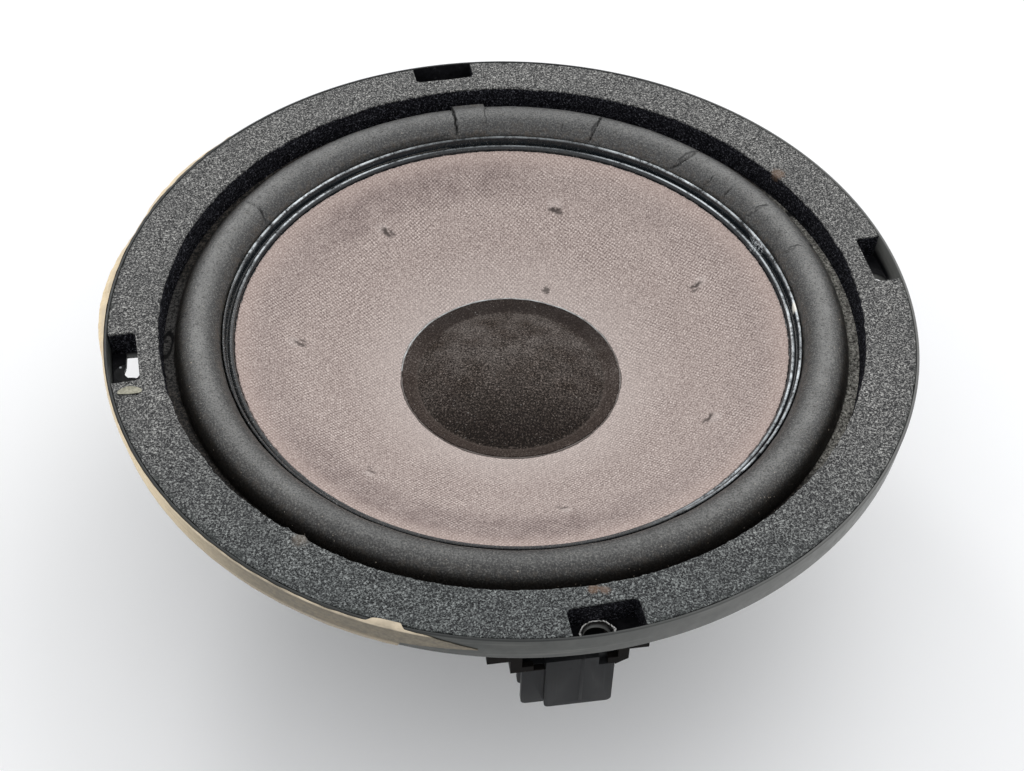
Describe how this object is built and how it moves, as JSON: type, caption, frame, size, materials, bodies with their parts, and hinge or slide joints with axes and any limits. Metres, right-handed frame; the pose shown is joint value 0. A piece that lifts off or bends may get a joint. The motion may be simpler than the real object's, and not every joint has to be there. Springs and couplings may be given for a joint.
{
  "type": "car door loudspeaker",
  "caption": "Round moving-coil car door speaker: moulded basket with foam gasket, rolled surround, woven-faced cone, cloth dust cap, ferrite motor and side plug socket.",
  "frame": {"origin": "centre of the flange's rear seating face, on the cone's axis", "axes": "+Z along the cone's axis, out of the front of the cone; -Y is the side that carries the plug socket, which is turned 10 degrees from it towards +X"},
  "size_m": [0.2021, 0.2003, 0.0748],
  "materials": {
    "basket": "satin moulded plastic, rubbed along the rim",
    "foam": "open-cell foam with a coarse grain, dusty",
    "surround": "dull impregnated foam, dusty and cracked",
    "cone_plastic": "glossy moulded edge ridges",
    "cone_cloth": "fine plain weave, faded pink-grey with darker stains",
    "cap_cloth": "coarse dark weave with pale dust",
    "adhesive": "dried clear adhesive",
    "former": "amber film",
    "copper": "enamelled copper wire",
    "spider_cloth": "resin-stiffened open weave",
    "plated_steel": "zinc plated",
    "ferrite": "ground dark ferrite",
    "plug_plastic": "satin moulded plastic",
    "tinned_brass": "tinned",
    "tinsel": "braided copper tinsel",
    "rivet_alloy": "torn bright aluminium",
    "tape": "aged paper tape"
  },
  "bodies": {
    "chassis": {"basket": "basket", "foam_gasket": "foam", "front_plate": "plated_steel", "magnet": "ferrite", "yoke": "plated_steel", "plate_screws": "plated_steel", "connector_bracket": "basket", "connector_housing": "plug_plastic", "terminal_blades": "tinned_brass", "tinsel_lead_a": "tinsel", "tinsel_lead_b": "tinsel", "rivet_remnant": "rivet_alloy", "rim_tape": "tape", "tape_flake": "tape"},
    "diaphragm": {"cone_body": "cone_plastic", "cone_fabric": "cone_cloth", "dust_cap": "cap_cloth", "cap_glue_bead": "adhesive", "coil_former": "former", "voice_coil": "copper", "surround": "surround", "spider": "spider_cloth"}
  },
  "joints": [
    {"name": "cone_travel", "type": "slide", "parent": "chassis", "child": "diaphragm", "axis": [0, 0, 1], "range_m": [-0.004, 0.004], "stiffness_N_per_m": 2000, "deforming": ["surround", "spider", "tinsel_lead_a", "tinsel_lead_b"]}
  ]
}
